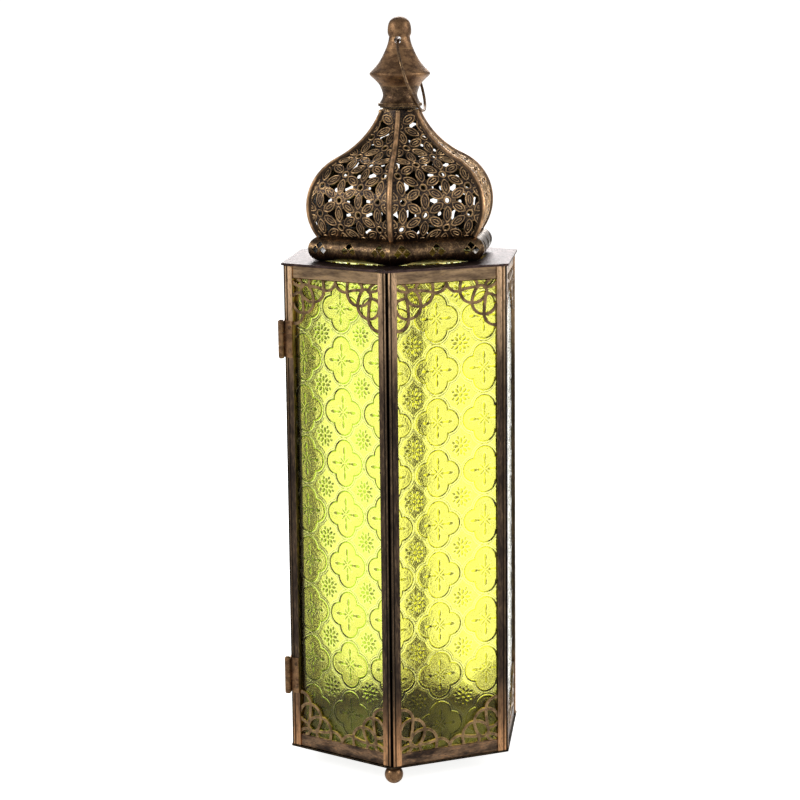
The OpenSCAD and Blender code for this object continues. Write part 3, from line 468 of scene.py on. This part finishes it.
def embossing(x, y, pitch, rng):
    """Height, distance from the outlines and height within details, at places measured in pitches."""
    x = (x + 0.5) % 1 - 0.5
    y = (y + 0.5) % 1 - 0.5
    ax, ay = np.abs(x), np.abs(y)
    lobes = np.minimum(np.hypot(ax - LOBE, ay), np.hypot(ax, ay - LOBE)) - LOBE
    edge = np.minimum(lobes, np.maximum(ax, ay) - LOBE) * pitch
    mx, my = x * pitch, y * pitch
    rx, ry = (0.5 - ax) * pitch, (0.5 - ay) * pitch
    detail = np.maximum.reduce([*(spokes(mx, my, *oval_row) for oval_row in QUATREFOIL_OVALS),
                                *(spokes(rx, ry, *oval_row) for oval_row in ROSETTE_OVALS),
                                mound(rx, ry, ROSETTE_MIDDLE_R, ROSETTE_MIDDLE_R)])
    detail = np.clip(detail, -1, 1)
    inside = np.clip(-edge, 0, 1)
    ground = GROUND_H + inside * (FROST_H - GROUND_H + STIPPLE_H * rng.standard_normal(x.shape))
    groove = np.clip(np.abs(edge - LINE_START / 2) / GROOVE_HALF, 0, 1)
    height = np.maximum.reduce([ground * groove, ridge(edge, RIDGE_START, RIDGE_END, RIDGE_H),
                                ridge(edge, OUTER_START, OUTER_END, OUTER_H),
                                DETAIL_H * np.sqrt(np.clip(detail, 0, 1))])
    return height, edge, detail


class Pane:
    """Where a glass pane sits and how the embossing lies on it. Facing and tilt are in degrees, column and
    row are the place of a quatrefoil, and pitch and rise are the steps from one to the next."""

    def __init__(self, body, facing, column, row, tilt, pitch=35.2, rise=36.2, dark_side=(-0.8, -0.1),
                 warmth=0.5):
        self.body, self.facing, self.tilt = body, math.radians(facing), math.radians(tilt)
        self.column, self.row, self.pitch, self.rise = column, row, pitch, rise
        self.dark_side, self.warmth = dark_side, warmth

    def in_pitches(self, u, z):
        """Places on the pane, measured in pitches along the rows and columns of its quatrefoils."""
        du, dz = u - self.column, z - self.row
        x = (du * math.cos(self.tilt) + dz * math.sin(self.tilt)) / self.pitch
        y = (dz * math.cos(self.tilt) - du * math.sin(self.tilt)) / self.rise
        return x, y


PANES = {
    "door_glass": Pane("door", -90, 3.7, 299.0, 0.9, 34.0, warmth=0.15),
    "panel_1_glass": Pane("lantern", -30, -7.3, 292.6, 0.2, 35.8, 36.1, (0.75, -0.2), 0.85),
    "panel_2_glass": Pane("lantern", 30, 9.0, 281.0, -0.4),
    "panel_3_glass": Pane("lantern", 90, -14.0, 302.0, 0.3),
    "panel_4_glass": Pane("lantern", 150, 4.5, 288.5, 0.5),
    "panel_5_glass": Pane("lantern", 210, -10.0, 295.5, -0.2),
}


def make_pane(node, pane, rng):
    """A pane in place of a CAD one: an embossed front, its rim, and a flat back of one face."""
    out = np.array([math.cos(pane.facing), math.sin(pane.facing), 0.0])
    along = np.array([-out[1], out[0], 0.0])
    up = np.array([0.0, 0.0, 1.0])
    plate = node_points(node)
    u_low, u_high = np.min(plate @ along), np.max(plate @ along)
    z_low, z_high = np.min(plate[:, 2]), np.max(plate[:, 2])
    back, front = np.min(plate @ out), np.max(plate @ out)
    columns = int((u_high - u_low) / GRID_STEP) + 1
    rows = int((z_high - z_low) / GRID_STEP) + 1
    u, z = np.meshgrid(np.linspace(u_low, u_high, columns), np.linspace(z_low, z_high, rows))
    height, edge, detail = embossing(*pane.in_pitches(u, z), (pane.pitch + pane.rise) / 2, rng)
    # Painted shade of the lines: how much the outlines and details slope towards the pane's dark side
    rise, run = np.gradient(edge + DETAIL_SLOPE * np.clip(-detail, -1, DETAIL_DEPTH), GRID_STEP)
    slope = run * pane.dark_side[0] + rise * pane.dark_side[1]
    shade = np.clip(EVEN_SHADE + SHADE_CONTRAST * slope, 0.0, 1.0)
    depth = np.full(u.shape, front - RELIEF) + np.clip(height, 0, RELIEF)
    grid = (u[..., None] * along + z[..., None] * up + depth[..., None] * out).reshape(-1, 3)
    number = np.arange(rows * columns).reshape(rows, columns)
    corners = number[:-1, :-1], number[:-1, 1:], number[1:, 1:], number[1:, :-1]
    quads = np.stack(corners, -1).reshape(-1, 4)
    rim = np.concatenate([number[0, :-1], number[:-1, -1], number[-1, :0:-1], number[:0:-1, 0]])
    behind = grid[rim] + (back - grid[rim] @ out)[:, None] * out
    rear = len(grid) + np.arange(len(rim))
    sides = np.stack([np.roll(rim, -1), rim, rear, np.roll(rear, -1)], -1)
    faces = quads.tolist() + sides.tolist() + [rear[::-1].tolist()]
    piece = make_mesh("embossed_" + node, np.concatenate([grid, behind]), faces, glass_material)
    fields = (("edge", edge, PLAIN_EDGE), ("detail", detail, PLAIN_DETAIL), ("shade", shade, PLAIN_SHADE),
              ("warmth", np.full(u.shape, pane.warmth), pane.warmth))
    for name, values, plain in fields:
        layer = piece.data.attributes.new(name, "FLOAT", "POINT")
        layer.data.foreach_set("value", np.append(values, np.full(len(rim), plain)).astype(np.float32))
    normals = piece.data.attributes.new("out", "FLOAT_VECTOR", "POINT")
    normals.data.foreach_set("vector", np.tile(out, len(grid) + len(rim)).astype(np.float32))
    smooth = np.zeros(len(faces), dtype=bool)
    smooth[:len(quads)] = True
    piece.data.polygons.foreach_set("use_smooth", smooth)
    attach(piece, pane.body)
    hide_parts(node)


random_source = np.random.default_rng(SEED)
for node_name, pane in PANES.items():
    make_pane(node_name, pane, random_source)


# Embossed lines on the dome's gores, which are bent as the CAD ones: a bulge, and a flare the other way

DOME_Z = 364.0
BULGE_R, BULGE_START, TURN_ANGLE = 36.0, -35.3, 62.7
BULGE_C, FLARE_R = (25.0, 38.0), 62.0
END_ANGLE = 18.9
FIRST_GORE_FACES = -90
# Holes lie in a lattice of triangles, with petals between each two of them
GORE_PITCH = 19.3
COLUMN_STEP = GORE_PITCH * math.sin(math.radians(60))
FIRST_ROW = 0.95 * GORE_PITCH
PETAL_TURNS = (30, 90, 150)
EYE_D, PETAL_L, PETAL_W = 4.9, 11.0, 5.8
OVAL_L, OVAL_W = 0.52 * PETAL_L, 0.33 * PETAL_W
OVAL_STEPS, PETAL_STEPS = 20, 32
# Width and height of each kind of line, and its outline across in shares of these
EYE_LINE, PETAL_LINE, OVAL_LINE = (0.9, 0.42), (0.85, 0.45), (0.55, 0.28)
LINE_PROFILE = ((-0.5, -0.06), (-0.3, 0.75), (0.0, 1.0), (0.3, 0.75), (0.5, -0.06))
# What the lines keep clear of at the seams, the collar and the crown
SEAM_EDGE, COLLAR_EDGE, CROWN_EDGE = 2.5, 1.0, 2.0
BULGE_U = BULGE_R * math.radians(TURN_ANGLE - BULGE_START)
GORE_U = BULGE_U + FLARE_R * math.radians(TURN_ANGLE - END_ANGLE)
FLARE_C = tuple(c + (BULGE_R + FLARE_R) * f(math.radians(TURN_ANGLE))
                for c, f in zip(BULGE_C, (math.cos, math.sin)))


def gore_surface(t, u):
    """Place and outward direction on a gore that faces +X, t along it level and u up its outline."""
    t, u = np.broadcast_arrays(np.asarray(t, float), np.asarray(u, float))
    low = u < BULGE_U
    tilt = np.where(low, math.radians(BULGE_START) + u / BULGE_R,
                    math.radians(TURN_ANGLE) - (u - BULGE_U) / FLARE_R)
    x = np.where(low, BULGE_C[0] + BULGE_R * np.cos(tilt), FLARE_C[0] - FLARE_R * np.cos(tilt))
    z = np.where(low, BULGE_C[1] + BULGE_R * np.sin(tilt), FLARE_C[1] - FLARE_R * np.sin(tilt))
    place = np.stack([x, t, z + DOME_Z], -1)
    normal = np.stack([np.cos(tilt), np.zeros_like(t), np.sin(tilt)], -1)
    return place, normal


def on_gore(t, u):
    """True where a line may run: on the sheet, clear of the seams, the collar and the crown."""
    place = gore_surface(t, u)[0]
    room = place[..., 0] * math.tan(math.radians(SIDE_TURN / 2)) - SEAM_EDGE
    return (np.abs(t) < room) & (u > COLLAR_EDGE) & (u < GORE_U - CROWN_EDGE)


def raised_line(path, closed, width, height, points, faces):
    """Adds a low half round ridge along a path of (t, u) places."""
    place, normal = gore_surface(path[:, 0], path[:, 1])
    ahead = np.roll(place, -1, 0) - np.roll(place, 1, 0)
    if not closed:
        ahead[0], ahead[-1] = place[1] - place[0], place[-1] - place[-2]
    ahead /= np.linalg.norm(ahead, axis=1)[:, None]
    across = np.cross(normal, ahead)
    start = len(points)
    for p, n, c in zip(place, normal, across):
        points.extend(p + c * width * s + n * height * h for s, h in LINE_PROFILE)
    size, wide = len(path), len(LINE_PROFILE)
    for i in range(size if closed else size - 1):
        a, b = start + i * wide, start + (i + 1) % size * wide
        faces.extend((a + k, b + k, b + k + 1, a + k + 1) for k in range(wide - 1))


def turned(centre, turn, along, across):
    """Places (t, u) that lie along and across a direction from a centre."""
    return np.stack([centre[0] + along * math.cos(turn) - across * math.sin(turn),
                     centre[1] + along * math.sin(turn) + across * math.cos(turn)], -1)


def oval(centre, turn, length, width, steps):
    angle = np.linspace(0, 2 * math.pi, steps, endpoint=False)
    return turned(centre, turn, length / 2 * np.cos(angle), width / 2 * np.sin(angle))


def lens(centre, turn, length, width, steps):
    """An oval with pointed ends, made of two arcs."""
    r = (length * length + width * width) / (4 * width)
    reach = math.asin(length / 2 / r)
    angle = np.linspace(-reach, reach, steps // 2, endpoint=False)
    along, across = r * np.sin(angle), r * np.cos(angle) - r + width / 2
    return turned(centre, turn, np.concatenate([along, -along]), np.concatenate([across, -across]))


def open_runs(path):
    """The stretches of a closed path that lie on the gore, and whether the whole path does."""
    good = on_gore(path[:, 0], path[:, 1])
    if good.all():
        return [path], True
    if not good.any():
        return [], False
    first = int(np.argmin(good))
    path, good = np.roll(path, -first, 0), np.roll(good, -first)
    runs, run = [], []
    for place, kept in zip(path, good):
        if kept:
            run.append(place)
        elif run:
            runs.append(run)
            run = []
    runs.append(run)
    return [np.array(r) for r in runs if len(r) > 2], False


def hole_centres(phase):
    """The lattice of holes, and some more places round it, whose lines open_runs cuts off."""
    for k in range(-3, 3):
        for n in range(-2, int(GORE_U / GORE_PITCH) + 2):
            shift = 0.0 if (k + phase) % 2 == 0 else 0.5
            yield (k + 0.5) * COLUMN_STEP, FIRST_ROW + (n + shift) * GORE_PITCH


def make_gore_relief(number):
    """The rings round the holes of a gore, its petals and their inner ovals, as one piece."""
    points, faces = [], []
    for t, u in hole_centres((number + 1) % 2):
        paths = [(oval((t, u), 0.0, EYE_D, EYE_D, OVAL_STEPS), EYE_LINE)]
        for turn in PETAL_TURNS:
            way = math.radians(turn)
            middle = (t + GORE_PITCH / 2 * math.cos(way), u + GORE_PITCH / 2 * math.sin(way))
            paths.append((lens(middle, way, PETAL_L, PETAL_W, PETAL_STEPS), PETAL_LINE))
            paths.append((oval(middle, way, OVAL_L, OVAL_W, OVAL_STEPS), OVAL_LINE))
        for path, line in paths:
            runs, whole = open_runs(path)
            for run in runs:
                raised_line(run, whole, *line, points, faces)
    turn = math.radians(FIRST_GORE_FACES + SIDE_TURN * (number - 1))
    cosine, sine = math.cos(turn), math.sin(turn)
    spin = np.array([[cosine, sine, 0], [-sine, cosine, 0], [0, 0, 1]])
    piece = make_mesh(f"gore_{number}_embossing", np.array(points) @ spin, faces, materials["relief"])
    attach(piece, "lantern")


for gore_number in range(1, SIDES + 1):
    make_gore_relief(gore_number)


# Beads of solder where the ribs end under the finial

BEAD_R, BEAD_SIDES, BEAD_RINGS = 1.5, 16, 8
BEAD_INSET, BEAD_DROP = 0.3 * BEAD_R, 0.6 * BEAD_R
RIB_TOP_DEPTH = 1.0


def ball(centre, r, points, faces):
    start = len(points)
    for i in range(BEAD_RINGS + 1):
        lift = math.pi * (i / BEAD_RINGS - 0.5)
        for k in range(BEAD_SIDES):
            turn = 2 * math.pi * k / BEAD_SIDES
            out = math.cos(lift) * np.array([math.cos(turn), math.sin(turn), 0.0])
            points.append(centre + r * (out + [0.0, 0.0, math.sin(lift)]))
    for i in range(BEAD_RINGS):
        for k in range(BEAD_SIDES):
            a, b = start + i * BEAD_SIDES + k, start + i * BEAD_SIDES + (k + 1) % BEAD_SIDES
            faces.append((a, b, b + BEAD_SIDES, a + BEAD_SIDES))


def make_beads():
    ribs = node_points("dome_ribs")
    top = ribs[ribs[:, 2] > np.max(ribs[:, 2]) - RIB_TOP_DEPTH]
    reach = np.max(np.hypot(top[:, 0], top[:, 1])) - BEAD_INSET
    level = np.mean(top[:, 2]) - BEAD_DROP
    points, faces = [], []
    for k in range(SIDES):
        turn = math.radians(SIDE_TURN * k)
        ball(np.array([reach * math.cos(turn), reach * math.sin(turn), level]), BEAD_R, points, faces)
    piece = make_mesh("rib_beads", np.array(points), faces, materials["relief"])
    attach(piece, "lantern")


make_beads()


# Studio: a pale floor, white surroundings and soft lamps

CAMERA_AZIMUTH, CAMERA_ELEVATION = math.radians(36.689), math.radians(12.550)
CAMERA_DISTANCE, LENS, ROLL = 1618.0, 100.185, math.radians(-0.615)
BODY_MIDDLE, AIM_HEIGHT, AIM_SHIFT = 188.5, 259.72, -2.36
# Middle azimuth and half widths in degrees, then the brightness away from the middle and in it
THROUGH_FAN, THROUGH_LIGHT = (30.0, 16.0, 38.0), (0.3, 2.6)
MIRRORED_FAN, MIRRORED_LIGHT = (17.0, 26.0, 45.0), (0.85, 2.1)
WORLD_LIGHT, WHITE, SEEN_WHITE = (0.5, 0.62), (1.0, 1.0, 1.0), 1.1
# How steeply a ray climbs, and the brightness it then finds
CEILING_RANGE, CEILING_LIGHT = (0.2, 0.6), (1.0, 0.75)
# The floor's sizes are in millimetres, and the distances at which its glow ends in metres
FLOOR_R, FLOOR_SIDES, FLOOR_TINT = 24000.0, 96, (0.86, 0.86, 0.85)
FLOOR_GLOW_RANGE, FAR_GLOW = (3.0, 4.0), 0.25
# The floor's glow for other rays and for the camera
FLOOR_GLOW = (0.30, 1.0)
# Name, azimuth and elevation in degrees, distance and width in metres, power in watts
LAMPS = (("left_soft_box", -35, 28, 1.7, 0.6, 6.5),
         ("right_soft_box", 105, 22, 1.7, 0.6, 8.0),
         ("rear_soft_box", 215, 30, 2.0, 1.2, 22.0))


def way_to(azimuth, elevation):
    """The direction in which a place lies. Azimuth 0 is before the door and turns to +X."""
    return Vector((math.sin(azimuth) * math.cos(elevation), -math.cos(azimuth) * math.cos(elevation),
                   math.sin(elevation)))


def make_camera():
    eye = Vector((0, 0, BODY_MIDDLE)) + CAMERA_DISTANCE * way_to(CAMERA_AZIMUTH, CAMERA_ELEVATION)
    aim = Vector((AIM_SHIFT * math.cos(CAMERA_AZIMUTH), AIM_SHIFT * math.sin(CAMERA_AZIMUTH), AIM_HEIGHT))
    ahead = (aim - eye).normalized()
    right = ahead.cross(Vector((0, 0, 1))).normalized()
    up = right.cross(ahead)
    x_axis = math.cos(ROLL) * right + math.sin(ROLL) * up
    y_axis = math.cos(ROLL) * up - math.sin(ROLL) * right
    data = bpy.data.cameras.new("camera")
    data.lens = LENS
    camera = bpy.data.objects.new("camera", data)
    bpy.context.scene.collection.objects.link(camera)
    turn = Matrix((x_axis, y_axis, -ahead)).transposed()
    camera.matrix_world = Matrix.Translation(eye * MM) @ turn.to_4x4()
    bpy.context.scene.camera = camera


def fan(tree, way, shape, low, high):
    """Brightness round the compass: high near a middle azimuth, and low away from it."""
    middle, narrow, wide = (math.radians(angle) for angle in shape)
    behind = (-math.sin(middle), math.cos(middle), 0.0)
    facing = dot(tree, level_way(tree, way), behind)
    return graded(tree, facing, math.cos(wide), math.cos(narrow), low, high)


def make_world():
    """White for the camera. Other rays see a bright backdrop, a dimmer front and a softly lit ceiling."""
    world = bpy.data.worlds.new("studio")
    bpy.context.scene.world = world
    world.use_nodes = True
    tree = world.node_tree
    tree.nodes.clear()
    way = add(tree, "TexCoord").outputs["Generated"]
    height = add(tree, "SeparateXYZ", way).outputs["Z"]
    ceiling = graded(tree, height, *CEILING_RANGE, *CEILING_LIGHT)
    seen = maths(tree, "MULTIPLY", fan(tree, way, MIRRORED_FAN, *WORLD_LIGHT), ceiling)
    direct = add(tree, "LightPath").outputs["Is Camera Ray"]
    strength = maths(tree, "MAXIMUM", seen, maths(tree, "MULTIPLY", direct, SEEN_WHITE))
    shader = add(tree, "Background", rgba(WHITE), strength)
    add(tree, "OutputWorld", {"Surface": shader.outputs[0]})


def make_floor():
    """A pale floor. Seen through the glass or mirrored, it glows in a fan behind the lantern, as a lit
    backdrop does."""
    material = new_material("pale_floor")
    tree = material.node_tree
    pale = rgba(FLOOR_TINT)
    place = add(tree, "TexCoord").outputs["Object"]
    away = add(tree, "VectorMath", place, operation="LENGTH").outputs["Value"]
    near = graded(tree, away, *FLOOR_GLOW_RANGE, 1.0, FAR_GLOW)
    path = add(tree, "LightPath")
    matte = add(tree, "BsdfDiffuse", pale)
    glow = add(tree, "Emission", pale, graded(tree, path.outputs["Is Camera Ray"], 0.0, 1.0, *FLOOR_GLOW))
    both = add(tree, "AddShader", matte.outputs[0], glow.outputs[0])
    for rays, shape, light in (("Is Transmission Ray", THROUGH_FAN, THROUGH_LIGHT),
                               ("Is Glossy Ray", MIRRORED_FAN, MIRRORED_LIGHT)):
        lit = maths(tree, "MULTIPLY", fan(tree, place, shape, *light), near)
        backdrop = add(tree, "Emission", pale, lit)
        both = add(tree, "MixShader", path.outputs[rays], both.outputs[0], backdrop.outputs[0])
    add(tree, "OutputMaterial", {"Surface": both.outputs[0]})
    turns = [2 * math.pi * k / FLOOR_SIDES for k in range(FLOOR_SIDES)]
    ring = [(FLOOR_R * math.cos(turn), FLOOR_R * math.sin(turn), 0.0) for turn in turns]
    make_mesh("floor", ring, [tuple(range(FLOOR_SIDES))], material, smooth=False)


def make_lamp(name, azimuth, elevation, distance, size, watts):
    """A square soft box that looks at the middle of the body."""
    back = way_to(math.radians(azimuth), math.radians(elevation))
    data = bpy.data.lights.new(name, "AREA")
    data.size, data.energy = size, watts
    lamp = bpy.data.objects.new(name, data)
    lamp.location = Vector((0, 0, BODY_MIDDLE * MM)) + distance * back
    lamp.rotation_mode = "QUATERNION"
    lamp.rotation_quaternion = (-back).to_track_quat("-Z", "Y")
    bpy.context.scene.collection.objects.link(lamp)


make_camera()
make_world()
make_floor()
for lamp_row in LAMPS:
    make_lamp(*lamp_row)

bpy.context.scene.view_settings.view_transform = "Standard"
